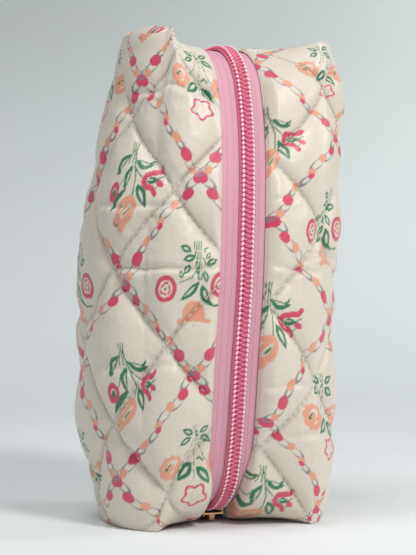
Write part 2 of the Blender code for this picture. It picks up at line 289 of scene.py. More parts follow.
def thicken(obj, thickness):
    """Makes a sheet a closed solid, thickened inwards from its face."""
    modifier = obj.modifiers.new("thickness", "SOLIDIFY")
    modifier.thickness = thickness
    modifier.offset = -1
    bpy.context.view_layer.update()
    shaped = obj.evaluated_get(bpy.context.evaluated_depsgraph_get())
    obj.data = bpy.data.meshes.new_from_object(shaped)
    obj.modifiers.clear()


# ---- cloth coordinates


def girth_table():
    """Distance round the middle of the bag from the zip, against a walk from 0 (front) to 4 (back)."""
    walk = np.linspace(0, 4, 2001)
    u = np.where(walk < 1, walk, np.where(walk < 3, 1, 4 - walk))
    v = np.where(walk < 1, -1, np.where(walk < 3, walk - 2, 1))
    face = cloth_face(u.astype(float), v.astype(float), np.zeros_like(walk))
    steps = np.linalg.norm(np.diff(face, axis=0), axis=1)
    return walk, np.concatenate([[0], np.cumsum(steps)])


def cloth_coordinates(u, v, w):
    """(girth, run) on the flat cloth: signed distance round from the zip, and along it."""
    walk, girth = girth_table()
    on_wall = ~is_end(w)
    front = is_front(v)
    back = is_back(v)
    at = np.where(front, np.abs(u), np.where(back, 4 - np.abs(u), 2 + v))
    behind_seam = v > END_SHARE - 1
    at_end = np.where(behind_seam, 4 - np.abs(u), np.abs(u))
    round_bag = np.interp(np.where(on_wall | front | back, at, at_end), walk, girth)
    over = np.where(behind_seam, 1 - v, 1 + v) * HALF_DEPTH
    run = np.where(on_wall, w * EDGE_RUN, np.copysign(EDGE_RUN + over, w))
    return np.copysign(round_bag, u), run


# ---- noise


def value_noise(x, y, seed):
    """Smooth noise from -1 to 1 with cells one unit wide."""
    table = np.random.default_rng(seed).uniform(-1, 1, (256, 256))
    left, low = np.floor(x).astype(int), np.floor(y).astype(int)
    across, up = smooth(x - left), smooth(y - low)
    corner = [[table[(left + i) % 256, (low + j) % 256] for j in (0, 1)] for i in (0, 1)]
    bottom = corner[0][0] + (corner[1][0] - corner[0][0]) * across
    top = corner[0][1] + (corner[1][1] - corner[0][1]) * across
    return bottom + (top - bottom) * up


def layered_noise(x, y, seed, layers=3):
    """A sum of noises, each finer and fainter than the one before."""
    total = np.zeros_like(x)
    for layer in range(layers):
        total += value_noise(x * 2**layer, y * 2**layer, seed + layer) / 2**layer
    return total


# ---- quilting


# All in mm.
QUILT_PITCH = 57.0  # between stitch lines, measured along the zip
QUILT_SHIFTS = ((1.5, 8.6), (0.5, -20.0))  # where each half's two families of lines start
QUILT_REACH = QUILT_PITCH / math.sqrt(2) / 2  # from a stitch line to the middle of a puff
PUFF = 2.7  # height of a puff's dome
GROOVE = 2.1  # depth of the groove that a stitch line pulls in
GROOVE_WIDTH = 2.6
QUILT_SINK = 2.2  # from the smooth face down to the bottom of the grooves
FOLD_HEIGHTS = (0.45, 0.40)  # gathers beside a stitch line: the usual height and its variation
PINCH = 0.13  # how far each stitch draws the groove in
SIDE_RIPPLE = 0.75  # loose ripples of the sides and the back
STITCH_PITCH = 3.3
STITCH_SIZE = (1.15, 0.19, 0.16)  # half sizes of one stitch of thread: along, across, outwards
STITCH_SPAN = 1.6  # the cloth's direction is read this far either side of a stitch
STITCH_MISS = 1.0  # stitches further than this from the cloth's points are left out
THREAD_LIFT = 0.12
WRINKLES = (  # (height, size across, size along, seed, layers)
    (0.35, 17, 13, 11, 3),
    (0.06, 2.3, 2.1, 17, 2),
)
CREASES = (  # (side, height along the zip, from and to girth, depth)
    (-1, 70.0, 12, 62, 0.9),
    (-1, 3.5, 12, 60, 1.7),
    (-1, 26.0, 34, 72, 1.0),
    (-1, -33.0, 30, 70, 0.6),
    (1, 3.0, 8, 34, 1.3),
    (1, 8.0, 28, 60, 1.0),
    (1, -41.0, 8, 30, 0.8),
    (1, -60.0, 22, 60, 0.7),
    (1, 30.0, 8, 26, 0.6),
)


def quilt_lines(girth, run):
    """For each family of lines: (distance to the nearest, place along it, its number), in mm."""
    families = []
    left = girth < 0
    for number, sign in enumerate((1, -1)):
        shift = np.where(left, QUILT_SHIFTS[0][number], QUILT_SHIFTS[1][number])
        phase = (girth + sign * run + shift) / QUILT_PITCH
        line = np.round(phase)
        distance = np.abs(phase - line) * QUILT_PITCH / math.sqrt(2)
        families.append((distance, (girth - sign * run) / math.sqrt(2), line))
    return families


def quilt_height(girth, run):
    """How far the quilted cloth stands off its smooth face, in mm."""
    first, second = quilt_lines(girth, run)
    dome = np.sin(math.pi / 2 * first[0] / QUILT_REACH) * np.sin(math.pi / 2 * second[0] / QUILT_REACH)
    grooves = (1 - np.exp(-first[0] / GROOVE_WIDTH)) * (1 - np.exp(-second[0] / GROOVE_WIDTH))
    height = PUFF * dome**0.7 + GROOVE * grooves - QUILT_SINK
    usual, varied = FOLD_HEIGHTS
    for number, (distance, along, line) in enumerate((first, second)):
        seed = 40 + 10 * number
        folds = layered_noise(along / 5.2 + 7.3 * line, distance / 22 + 3.1 * line, seed, 2)
        gather = value_noise(along / 16 + 2.7 * line, line * 0.37, seed + 5)
        beside = np.exp(-distance / 5.5) * (1 - np.exp(-distance / 0.8))
        height += (usual + varied * gather) * folds * beside
        height += PINCH * np.cos(2 * math.pi * along / STITCH_PITCH) * np.exp(-((distance / 1.1) ** 2))
    for depth, across, along, seed, layers in WRINKLES:
        height += depth * layered_noise(girth / across, run / along, seed, layers)
    on_side = smooth((np.abs(girth) - 50) / 18)
    return height + SIDE_RIPPLE * on_side * value_noise(girth / 26, run / 6.2, 23)


def crease_height(girth, run):
    """Pleats across the cloth where the bag has been bent, with gathers under each."""
    total = np.zeros_like(girth)
    for side, level, start, end, depth in CREASES:
        across = girth * side
        along = smooth((across - start + 6) / 8) * smooth((end + 6 - across) / 10)
        bend = level + 1.4 * value_noise(across / 11, across * 0 + level, 71)
        below = run - bend
        lip = np.exp(-((below / 1.2) ** 2)) * -1.0 + np.exp(-(((below + 2.6) / 2.2) ** 2)) * 0.6
        gathers = value_noise(across / 2.4, below / 14, 77) * np.exp(-np.abs(below + 3) / 5) * 0.5
        total += depth * along * (lip * 0.8 + gathers)
    return total


# ---- the print


def srgb(red, green, blue):
    """A screen colour, 0 to 255, as linear values."""
    values = np.array([red, green, blue]) / 255
    return np.where(values <= 0.04045, values / 12.92, ((values + 0.055) / 1.055) ** 2.4)


CREAM = srgb(228, 217, 201)
PINK = srgb(216, 74, 106)
PEACH = srgb(235, 166, 135)
GREEN = srgb(44, 122, 84)
GREY = srgb(138, 138, 146)
EDGE = 0.22  # mm over which a printed shape's edge fades


class Paint:
    """Colours for points of the flat cloth, to draw shapes on; x and y are in mm from a place on it."""

    def __init__(self, x, y, colour, where=slice(None)):
        self.x, self.y, self.colour, self.where = x, y, colour, where

    def at(self, x, y):
        """The same points, measured from another place."""
        return Paint(self.x - x, self.y - y, self.colour, self.where)

    def near(self, x, y, reach):
        """The points within reach of a place, measured from it."""
        where = np.nonzero((np.abs(self.x - x) < reach) & (np.abs(self.y - y) < reach))[0]
        return Paint(self.x[where] - x, self.y[where] - y, self.colour, where)

    def angle(self):
        return np.arctan2(self.y, self.x)

    def lay(self, colour, inside):
        """Covers points by how far inside a shape they are, in mm."""
        cover = smooth(inside / EDGE + 0.5)[:, None]
        self.colour[self.where] += (colour - self.colour[self.where]) * cover

    def oval(self, colour, x, y, *form):
        self.lay(colour, oval(self.x - x, self.y - y, *form))

    def pointed(self, colour, x, y, *form):
        self.lay(colour, pointed(self.x - x, self.y - y, *form))

    def stroke(self, colour, points, *form):
        self.lay(colour, stroke(self.x, self.y, points, *form))

    def dashes(self, colour, *form):
        self.lay(colour, dashed(self.x, self.y, *form))


def turned(x, y, degrees):
    """(along, across) of points for an axis turned from x by degrees."""
    angle = math.radians(degrees)
    return x * math.cos(angle) + y * math.sin(angle), y * math.cos(angle) - x * math.sin(angle)


def oval(x, y, long, wide, degrees=0.0):
    """How far inside an oval each point is, in mm; negative outside."""
    along, across = turned(x, y, degrees)
    radius = np.sqrt((along / long) ** 2 + (across / wide) ** 2)
    return (1 - radius) * min(long, wide)


def ring(inside, thickness):
    """The band of that thickness just inside a shape's edge."""
    return thickness / 2 - np.abs(inside - thickness / 2)


def pointed(x, y, long, wide, degrees=0.0, bow=0.0):
    """A leaf with points at both ends, bowed to one side."""
    along, across = turned(x, y, degrees)
    share = along / long
    across = across - bow * (1 - share * share)
    width = wide * np.clip(1 - share * share, 0, 1) * (1 - 0.25 * share)
    return np.where(np.abs(share) < 1, width - np.abs(across), -1.0)


def stroke(x, y, points, width, taper=0.0):
    """A line through points, as wide as given; taper narrows it towards its end."""
    best = np.full(len(x), -9.0)
    count = len(points) - 1
    for number, ((ax, ay), (bx, by)) in enumerate(zip(points, points[1:])):
        length = (bx - ax) ** 2 + (by - ay) ** 2
        share = np.clip(((x - ax) * (bx - ax) + (y - ay) * (by - ay)) / length, 0, 1)
        gap = np.hypot(x - ax - share * (bx - ax), y - ay - share * (by - ay))
        narrow = 1 - taper * (number + share) / count
        best = np.maximum(best, width / 2 * narrow - gap)
    return best


def dashed(x, y, start, end, width, dash, gap):
    """A straight dashed line."""
    inside = stroke(x, y, (start, end), width)
    length = math.hypot(end[0] - start[0], end[1] - start[1])
    along = ((x - start[0]) * (end[0] - start[0]) + (y - start[1]) * (end[1] - start[1])) / length
    phase = np.mod(along, dash + gap)
    return np.minimum(inside, np.minimum(phase, dash - phase))


def leaves(spot, *forms):
    """Green leaves with pale slits: (x, y, half length, half width, degrees, bow if any)."""
    for x, y, long, wide, degrees, *bow in forms:
        spot.pointed(GREEN, x, y, long, wide, degrees, *bow)
        inner_bow = [bent * 0.6 for bent in bow]
        spot.pointed(CREAM, x, y, long * 0.55, wide * 0.30, degrees, *inner_bow)


def peach_rose(spot, x, y):
    """A round ragged rose with a pale opening and green dots at its heart."""
    spot = spot.at(x, y)
    angle = spot.angle()
    ragged = oval(spot.x, spot.y, 5.9, 5.0) + 0.28 * np.sin(9 * angle + x) + 0.15 * np.sin(17 * angle)
    spot.lay(PEACH, ragged)
    spot.oval(CREAM, 0.7, 1.3, 2.6, 1.8, 20)
    spot.oval(PEACH, -0.3, 0.2, 2.1, 1.2, 25)
    spot.oval(CREAM, 1.0, -1.9, 1.3, 0.45, 25)
    spot.oval(GREEN, -2.0, -0.1, 0.85, 0.7)
    spot.oval(GREEN, -0.8, 1.2, 0.9, 0.4, 30)


def pink_rose(spot, x, y):
    """A pink ring round three short strokes and a green dot."""
    spot = spot.at(x, y)
    outer = oval(spot.x, spot.y, 4.8, 4.9) + 0.07 * np.sin(6 * spot.angle() + 1)
    spot.lay(PINK, ring(outer, 1.7))
    for turn in (10, 130, 250):
        along, across = turned(spot.x, spot.y, turn)
        spot.lay(PINK, stroke(along, across, ((-1.5, 1.1), (0.0, 2.1), (1.3, 1.9)), 0.75))
    spot.oval(GREEN, 0, 0, 0.5, 0.5)


def five_lobed(spot, x, y):
    """A five-lobed flower in outline, with a faint peach one inside."""
    spot = spot.at(x, y)
    spot.y = spot.y * 1.2
    radius = np.hypot(spot.x, spot.y)
    lobes = 5.0 + 0.75 * np.cos(5 * spot.angle() + math.pi / 2)
    spot.lay(PINK, ring(lobes - radius, 1.15))
    spot.lay(PEACH, ring(1.9 + 0.15 * np.cos(6 * spot.angle()) - radius, 0.35) - 0.06)


def pink_tulip(spot, x, y):
    """A tulip lying on its side: a pink horseshoe open to the right, round a green heart."""
    spot = spot.at(x, y)
    upper = ((5.0, 4.4), (3.6, 3.0), (0.4, 2.9), (-2.6, 2.3))
    lower = ((-3.6, 0.0), (-2.4, -2.0), (0.6, -2.9), (2.4, -5.0))
    spot.stroke(PINK, upper + lower, 2.2)
    spot.oval(PINK, 4.2, -1.2, 2.0, 1.2, -25)
    spot.pointed(GREEN, 0.6, 0, 2.7, 1.4, 0)
    spot.stroke(CREAM, ((-1.6, 0.2), (0.6, 0.35)), 0.35)
    spot.stroke(GREEN, ((3.0, 0.4), (5.4, 1.5)), 0.5)
    spot.stroke(GREEN, ((2.6, -3.2), (3.4, -2.4)), 0.45)


def peach_tulip(spot, x, y):
    """A drooping peach tulip with a notched mouth."""
    spot = spot.at(x, y)
    bowl = oval(spot.x - 0.6, spot.y - 0.8, 5.6, 4.0, 62)
    petal = pointed(spot.x + 0.6, spot.y + 3.6, 4.2, 2.2, 70, 0.6)
    left = pointed(spot.x + 2.7, spot.y + 1.6, 4.0, 1.5, 50, -0.5)
    spot.lay(PEACH, np.maximum(np.maximum(bowl, petal), left))
    spot.oval(CREAM, 0.9, 0.4, 3.4, 0.85, 58)
    spot.oval(CREAM, -1.5, 1.4, 2.3, 0.4, 62)
    spot.oval(GREEN, 1.0, 0.2, 2.0, 0.4, 55)
    spot.oval(GREEN, -1.6, 2.2, 0.6, 0.25, 62)
    spot.stroke(GREEN, ((-4.2, -4.0), (-3.7, -5.0), (-2.7, -4.2)), 0.55)


def bell(spot, x, y):
    """A plain peach bell with a flared rim."""
    spot = spot.at(x, y)
    dome = np.minimum(oval(spot.x, spot.y + 1.0, 4.8, 5.2), spot.y + 2.6)
    rim = ((-6.2, -3.4), (-4.6, -3.1), (0.0, -2.5), (4.9, -3.3), (6.6, -3.6))
    spot.lay(PEACH, np.maximum(dome, stroke(spot.x, spot.y, rim, 1.9, 0.2)))
    spot.oval(PEACH, 0.2, -4.9, 0.35, 0.35)


def bouquet_a(paint, x, y):
    """Butterfly leaves over two peach roses and a five-lobed flower."""
    spot = paint.near(x, y, 30)
    for top in (-2.1, -0.8, 0.4):
        spot.dashes(GREEN, (top, 4.0), (top * 0.3, 0.2), 0.32, 1.7, 0.3)
    for foot, low in ((-2.7, -6.4), (-0.3, -11.0), (3.3, -10.2)):
        spot.dashes(GREEN, (0.1 * foot, 0.0), (foot, low), 0.36, 1.6, 0.55)
    spot.stroke(GREEN, ((-2.9, -6.8), (-5.0, -8.6)), 0.3)
    spot.stroke(GREEN, ((3.3, -10.2), (5.0, -12.2)), 0.3)
    spot.dashes(GREEN, (-0.5, -11.8), (-1.2, -18.4), 0.34, 1.9, 0.6)
    leaves(spot, (-4.4, 1.7, 2.9, 1.4, 150), (3.5, 1.3, 2.5, 1.4, 26),
           (-5.3, -2.2, 2.9, 1.4, 205), (4.4, -3.2, 3.2, 1.5, -35))
    peach_rose(spot, -11.6, -11.8)
    peach_rose(spot, 10.6, -13.6)
    leaves(spot, (-4.8, -15.2, 4.5, 2.1, 222, 0.3), (2.8, -17.4, 4.5, 2.0, -54, 0.3))
    spot.stroke(GREEN, ((0.6, -11.2), (1.8, -10.4), (3.2, -11.8)), 0.6)
    five_lobed(spot, -0.8, -24.4)


def bouquet_b(paint, x, y):
    """Long curved leaves, a pink tulip, a small one and a peach one."""
    spot = paint.near(x, y, 32)
    for top, foot in ((-1.4, -2.3), (-0.2, -0.4), (0.9, 1.0)):
        spot.stroke(GREEN, ((top, 3.0), (top * 0.6, 0.0), (foot, -5.0)), 0.42)
    spot.stroke(GREEN, ((0.4, 0.0), (1.2, -6.0), (2.2, -11.0), (2.0, -17.6)), 0.55)
    spot.stroke(GREEN, ((1.2, -6.5), (3.4, -9.0), (5.8, -11.0)), 0.5)
    leaves(spot, (5.6, -4.6, 4.6, 1.6, -12, -1.5))
    spot.stroke(GREEN, ((7.6, -5.2), (9.2, -4.3), (9.6, -3.2)), 1.1, 0.6)
    leaves(spot, (-4.6, -5.4, 4.8, 1.4, 232, -0.9))
    spot.oval(GREEN, -6.6, -8.3, 1.2, 0.9, 30)
    leaves(spot, (-1.0, -10.6, 5.2, 1.3, 256, -0.8))
    spot.pointed(GREEN, -4.4, -19.0, 5.6, 1.1, 236, -1.0)
    leaves(spot, (5.8, -17.6, 5.1, 2.0, -62, 0.4))
    spot.stroke(GREEN, ((-2.6, -8.6), (-4.0, -11.8), (-5.2, -13.8)), 0.3)
    pink_tulip(spot, 9.8, -12.2)
    spot.lay(PINK, ring(oval(spot.x + 7.4, spot.y + 15.6, 3.9, 2.4, 82), 1.4))
    spot.oval(GREEN, -7.4, -16.0, 1.5, 0.8, 80)
    peach_tulip(spot, -0.8, -23.2)


def bouquet_c(paint, x, y):
    """Leafy stems over two pink roses and a peach bell."""
    spot = paint.near(x, y, 34)
    for top, foot in ((-1.5, 0.6), (-0.6, 0.9), (0.5, 1.3), (1.6, 1.8)):
        spot.dashes(GREEN, (top, 1.0), (foot, -13.5), 0.4, 3.4, 0.3)
    leaves(spot, (-4.7, -1.9, 2.5, 1.35, 155), (-3.2, -5.4, 2.6, 1.4, 196), (-4.0, -9.6, 2.2, 1.2, 236),
           (-6.2, -11.2, 1.6, 0.95, 110), (4.6, -4.3, 1.5, 0.9, 60), (6.2, -6.6, 2.4, 1.3, 20),
           (3.6, -12.2, 2.4, 1.1, -70))
    spot.stroke(GREEN, ((3.2, -3.2), (3.0, -2.0), (4.4, -1.4)), 0.5)
    spot.stroke(GREEN, ((2.4, -5.2), (3.6, -7.6), (5.4, -8.4)), 0.45)
    spot.stroke(GREEN, ((0.4, -9.0), (-2.0, -12.6), (-6.6, -14.2)), 0.4)
    leaves(spot, (-2.6, -17.4, 5.2, 1.5, 222, 0.5), (4.4, -19.2, 4.6, 1.7, -62, -0.6))
    spot.stroke(GREEN, ((5.2, -21.4), (7.6, -23.2), (11.0, -22.8)), 1.0, 0.4)
    pink_rose(spot, -12.6, -16.2)
    pink_rose(spot, 10.6, -15.2)
    bell(spot, -0.6, -25.2)


# (place along a chain as a share from node to node, aside in mm, half length, half width, colour)
BEADS = (
    (0.02, 0.0, 2.6, 2.2, PINK),
    (0.17, -1.0, 2.8, 2.1, PINK),
    (0.31, 0.9, 2.1, 1.9, PEACH),
    (0.475, 0.3, 2.0, 1.6, PEACH),
    (0.50, -0.9, 1.5, 1.2, PINK),
    (0.655, 0.8, 2.6, 1.7, PEACH),
    (0.80, 0.4, 2.9, 2.4, PINK),
    (0.925, -0.7, 1.8, 1.7, PEACH),
)
LOOPS = (  # (place, aside, half length, half width, line width)
    (0.09, 0.6, 3.9, 1.7, 0.5),
    (0.25, -0.8, 4.2, 1.9, 0.45),
    (0.40, 0.9, 4.2, 1.9, 0.5),
    (0.565, -0.6, 3.3, 1.6, 0.7),
    (0.72, 0.6, 3.6, 1.6, 0.8),
    (0.87, -0.4, 3.8, 1.8, 0.5),
    (0.97, 0.6, 3.0, 1.5, 0.5),
)


def chain(paint, start, end, flip):
    """Beads and loops strung from one node of the print's lattice to another."""
    dx, dy = end[0] - start[0], end[1] - start[1]
    length = math.hypot(dx, dy)
    turn = math.degrees(math.atan2(dy, dx))
    spot = paint.near((start[0] + end[0]) / 2, (start[1] + end[1]) / 2, length / 2 + 4)
    along, across = turned(spot.x, spot.y, turn)
    along = along + length / 2
    across = across * flip
    for place, aside, long, wide, line in LOOPS:
        shape = oval(along - place * length, across - aside, long, wide, 8)
        swell = line * (1 + 0.5 * np.sin((along - place * length) / 1.6))
        spot.lay(GREY, ring(shape, swell))
    for place, aside, long, wide, colour in BEADS:
        spot.lay(colour, oval(along - place * length, across - aside, long, wide, 18))


LATTICE = (35.0, 37.2)  # half the print's repeat across and along the zip, in mm
LATTICE_STARTS = ((-21.0, 38.0), (45.0, 59.5))  # a node with bouquet C under it, on each half
BOUQUETS = {"a": (bouquet_a, 1.5, -24.0), "b": (bouquet_b, 0.0, -27.0), "c": (bouquet_c, 0.0, -25.5)}

# Where the cloth is pulled out of place, in mm: (half, girth, run, girth moved, run moved, reach).
PULLS = (
    (-1, -58, 35, 3.5, -2.0, 15),
    (-1, -52, -42, 6.5, 0.0, 15),
    (-1, -56, -2, 3.0, -3.0, 12),
    (-1, -56, -72, -3.5, 0.0, 14),
    (-1, -18, -72, 1.5, 2.0, 18),
    (1, 42, 98, -7.0, -17.0, 28),
    (1, 40, 12, -4.0, 0.0, 16),
    (1, 40, -50, -3.0, -1.0, 16),
    (1, 14, -88, 3.0, 5.0, 14),
    (1, 14, -56, 2.0, -4.0, 12),
)


def pulled(girth, run, side):
    """Where on the flat print each point of the worn cloth lies."""
    x, y = girth.copy(), run.copy()
    for half, at_girth, at_run, by_girth, by_run, reach in PULLS:
        if half == side:
            share = np.exp(-(((girth - at_girth) ** 2 + (run - at_run) ** 2) / (2 * reach**2)))
            x -= by_girth * share
            y -= by_run * share
    return x, y


def lattice_nodes(side):
    """(column, row, x, y) of the lattice's nodes on one half of the cloth."""
    start_x, start_y = LATTICE_STARTS[0 if side < 0 else 1]
    for column in range(-6, 7):
        for row in range(-6, 7):
            if (column + row) % 2 == 0:
                yield column, row, start_x + column * LATTICE[0], start_y + row * LATTICE[1]


def paint_print(paint, side):
    """One half's whole print: chains between the nodes, and bouquets over them."""
    for _, _, x, y in lattice_nodes(side):
        if -20 <= x * side <= 175 and abs(y) <= 190:
            chain(paint, (x, y), (x + LATTICE[0], y - LATTICE[1]), 1)
            chain(paint, (x, y), (x - LATTICE[0], y - LATTICE[1]), -1)
    for column, row, x, y in lattice_nodes(side):
        kind = "b" if column % 2 else ("c" if row % 4 == 0 else "a")
        draw, aside, below = BOUQUETS[kind]
        if -30 < x * side < 180 and abs(y) < 190:
            draw(paint, x + aside, y + below)


def shade_grooves(paint, girth, run):
    """Painted shade: the cloth's colour is made a little darker along the quilting lines, where the
    grooves draw it in.
    """
    for distance, _, _ in quilt_lines(girth, run):
        paint.colour *= 1 - smooth(1 - np.abs(distance) / 1.6)[:, None] * 0.22


def stitch_places():
    """(girth, run, direction) of every quilting stitch, in mm."""
    places = []
    for side, shifts in ((-1, QUILT_SHIFTS[0]), (1, QUILT_SHIFTS[1])):
        for sign, shift in zip((1, -1), shifts):
            for line in range(-7, 8):
                along = np.arange(-300, 300, STITCH_PITCH) + 0.7 * line
                across = line * QUILT_PITCH - shift
                girth = across / 2 + along / math.sqrt(2)
                run = sign * (across - girth)
                kept = (girth * side > 8) & (girth * side < 150) & (np.abs(run) < 118)
                places += [(g, r, sign) for g, r in zip(girth[kept], run[kept])]
    return np.array(places)


# ---- materials


def material(name, colour, roughness, sheen=0.0):
    made = bpy.data.materials.new(name)
    made.use_nodes = True
    shader = made.node_tree.nodes["Principled BSDF"]
    shader.inputs["Base Color"].default_value = (*colour, 1)
    shader.inputs["Roughness"].default_value = roughness
    shader.inputs["Sheen Weight"].default_value = sheen
    return made


MIX_FACTOR, MIX_FIRST, MIX_SECOND, MIX_RESULT = 0, 6, 7, 2  # a colour mix node's sockets


def add_grain(made, scale, depth, darkest, printed):
    """Fine grain: relief, and darker hollows. If printed, the mesh gives the colour."""
    nodes, links = made.node_tree.nodes, made.node_tree.links
    shader = nodes["Principled BSDF"]
    where = nodes.new("ShaderNodeTexCoord")
    noise = nodes.new("ShaderNodeTexNoise")
    noise.inputs["Scale"].default_value = scale
    noise.inputs["Detail"].default_value = 4
    links.new(where.outputs["Object"], noise.inputs["Vector"])
    bump = nodes.new("ShaderNodeBump")
    bump.inputs["Strength"].default_value = 0.5
    bump.inputs["Distance"].default_value = depth
    links.new(noise.outputs["Fac"], bump.inputs["Height"])
    links.new(bump.outputs["Normal"], shader.inputs["Normal"])
    ramp = nodes.new("ShaderNodeValToRGB")
    ramp.color_ramp.elements[0].position = 0.3
    ramp.color_ramp.elements[0].color = (darkest, darkest, darkest, 1)
    ramp.color_ramp.elements[1].position = 0.7
    links.new(noise.outputs["Fac"], ramp.inputs["Fac"])
    tint = nodes.new("ShaderNodeMix")
    tint.data_type = "RGBA"
    tint.blend_type = "MULTIPLY"
    tint.inputs[MIX_FACTOR].default_value = 1.0
    tint.inputs[MIX_FIRST].default_value = shader.inputs["Base Color"].default_value[:]
    if printed:
        colours = nodes.new("ShaderNodeAttribute")
        colours.attribute_name = "print"
        links.new(colours.outputs["Color"], tint.inputs[MIX_FIRST])
    links.new(ramp.outputs["Color"], tint.inputs[MIX_SECOND])
    links.new(tint.outputs[MIX_RESULT], shader.inputs["Base Color"])
    return made


SATIN = add_grain(material("satin", CREAM, 0.38, sheen=0.15), 1500, 0.15 * MM, 0.90, True)
LINING = add_grain(material("lining", srgb(228, 178, 186), 0.65), 1200, 0.1 * MM, 0.92, False)
TAPE = material("zip_tape", srgb(228, 150, 172), 0.62, sheen=0.1)
TAPE = add_grain(TAPE, 2600, 0.06 * MM, 0.92, True)
COIL = material("zip_coil", srgb(230, 116, 148), 0.36)
STITCH = material("zip_stitch", srgb(252, 222, 228), 0.6)
THREAD = material("quilting_thread", srgb(246, 243, 236), 0.45)
BINDING = add_grain(material("binding", srgb(238, 232, 224), 0.7), 1500, 0.1 * MM, 0.9, False)

# ---- the quilted cloth

TUCK_U = 0.16  # width of the cloth tucked under a front panel, as a share of the half width
TUCK_DEPTH = 2.6 * MM
LINING_HEIGHTS = (6.0 * MM, 189.5 * MM)  # the lining stays between these, clear of the ends
EDGE_ROLL = 4.2 * MM  # the cloth beside the zip rolls down to the tape over this distance
EDGE_SEAT = 0.25 * MM  # and ends this far above it
BOTTOM_PULL = 2.6 * MM  # the two cloth edges close in on the zip at the bottom by this much
END_CALM = (84 * MM, 76 * MM)  # puffs fade out past these runs, towards the bottom and the top
PUFF_FADE = 5 * MM  # puffs fade out over this distance towards the zip and the back's middle
SEAM_DEPTH = 1.0 * MM  # of the seam down the middle of the back
SEAM_WIDTH = 1.5 * MM
MIN_HEIGHT = 0.2 * MM  # the resting end is pressed flat


def on_zip_face(v, w):
    """True on the sides of the cube that the zip runs over."""
    return is_front(v) | (is_end(w) & (v < END_SHARE - 1 + ON_SIDE))


def puff_share(u, v, w, run, past_slot, back):
    """The share of the quilting's height that is kept: less near the zip, seams and ends."""
    share = np.where(on_zip_face(v, w), smooth(past_slot / PUFF_FADE), 1.0)
    share *= np.where(is_end(w), smooth(np.abs(v - END_SHARE + 1) / 0.08), 1.0)
    share *= np.where(back, smooth(HALF_WIDTH * np.abs(u) / PUFF_FADE), 1.0)
    low, high = END_CALM
    share *= 1 - 0.75 * smooth((run - high) / (14 * MM)) - 0.75 * smooth((-run - low) / (14 * MM))
    return share


def roll_edges(points, u, v, w, run, past_slot):
    """Rolls the cloth's edges down to the tapes, and closes them in on the zip at the bottom."""
    beside_zip = on_zip_face(v, w)
    low = smooth((-run - 68 * MM) / (18 * MM))
    roll = np.clip(past_slot / (EDGE_ROLL * (1 - 0.65 * low)), 0, 1)
    _, _, angle = path_point(run_at(v, w))
    down = (cloth_lift(run_at(v, w)) - EDGE_SEAT) * (1 - np.sqrt(1 - (1 - roll) ** 2))
    down = np.where(beside_zip, down, 0.0)
    points[:, 1] += down * np.sin(angle)
    points[:, 2] += down * np.cos(angle)
    pull = np.where(beside_zip, BOTTOM_PULL * low * np.exp(-np.maximum(past_slot, 0) / (10 * MM)), 0.0)
    points[:, 0] -= np.sign(u) * pull


def print_and_shade_colours(girth, run):
    """The print's colour with painted shade along the quilting lines, at each point of the cloth, both
    in mm.
    """
    colours = np.zeros((len(girth), 3))
    for side in (-1, 1):
        half = np.nonzero(girth > 0 if side > 0 else girth <= 0)[0]
        paint = Paint(*pulled(girth[half], run[half], side), np.tile(CREAM, (len(half), 1)))
        paint_print(paint, side)
        # painted shade: darker colour in the grooves along the quilting lines
        shade_grooves(paint, girth[half], run[half])
        colours[half] = paint.colour
    return colours


def quilt_shell():
    """(points, normals, colours, quads, places on the cube, places on the flat cloth in mm)."""
    cube, quads = cube_shell(GRID)
    u, v, w = stretch_u(cube[:, 0]), cube[:, 1], cube[:, 2]
    face = cloth_face(u, v, w)
    outwards = vertex_normals(face, quads)
    girth, run = cloth_coordinates(u, v, w)
    flat_girth, flat_run = girth / MM, run / MM
    past_slot = HALF_WIDTH * np.abs(u) - np.where(u < 0, *SLOT_EDGES)
    back = is_back(v) | (is_end(w) & (v > END_SHARE - 1))

    height = (quilt_height(flat_girth, flat_run) + crease_height(flat_girth, flat_run)) * MM
    height = height * puff_share(u, v, w, run, past_slot, back)
    seam = np.where(back, np.exp(-((HALF_WIDTH * u / SEAM_WIDTH) ** 2)), 0.0)
    points = face + outwards * (height - SEAM_DEPTH * seam)[:, None]
    roll_edges(points, u, v, w, run, past_slot)
    points[:, 2] = np.maximum(points[:, 2], MIN_HEIGHT)

    place = np.stack([u, v, w], axis=1)
    flat = np.stack([flat_girth, flat_run], axis=1)
    colours = print_and_shade_colours(flat_girth, flat_run)
    return points, vertex_normals(points, quads), colours, quads, place, flat


def in_slot(centres):
    """True for squares of the gap where the zip shows."""
    edge = np.where(centres[:, 0] < 0, *SLOT_EDGES) / HALF_WIDTH
    on_end = is_end(centres[:, 2]) & (centres[:, 1] < END_SHARE - 1)
    return (np.abs(centres[:, 0]) < edge) & (is_front(centres[:, 1]) | on_end)


def cloth_parts(centres):
    """(name, body, stretch, squares) for each piece that a layer of cloth is cut into."""
    gap = in_slot(centres)
    panel = is_front(centres[:, 1]) & (np.abs(centres[:, 0]) < HINGE_U) & ~gap
    yield "body", "bag", None, ~panel & ~gap
    for hand, side in HANDS:
        for stretch, way in STRETCHES:
            wanted = panel & (centres[:, 0] * side > 0) & (centres[:, 2] * way > 0)
            yield f"front_{hand}_{stretch}", hand + "_panel", stretch, wanted


def cad_part(part):
    """The end of the CAD's name for a part of the cloth."""
    return part if part == "body" else part.rsplit("_", 1)[0]


def attach(obj, body, stretch):
    """Rides on a body, or, where stretch is given, only has its placement baked into its mesh."""
    if stretch is None:
        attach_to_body(obj, body)
    else:
        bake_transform(obj)


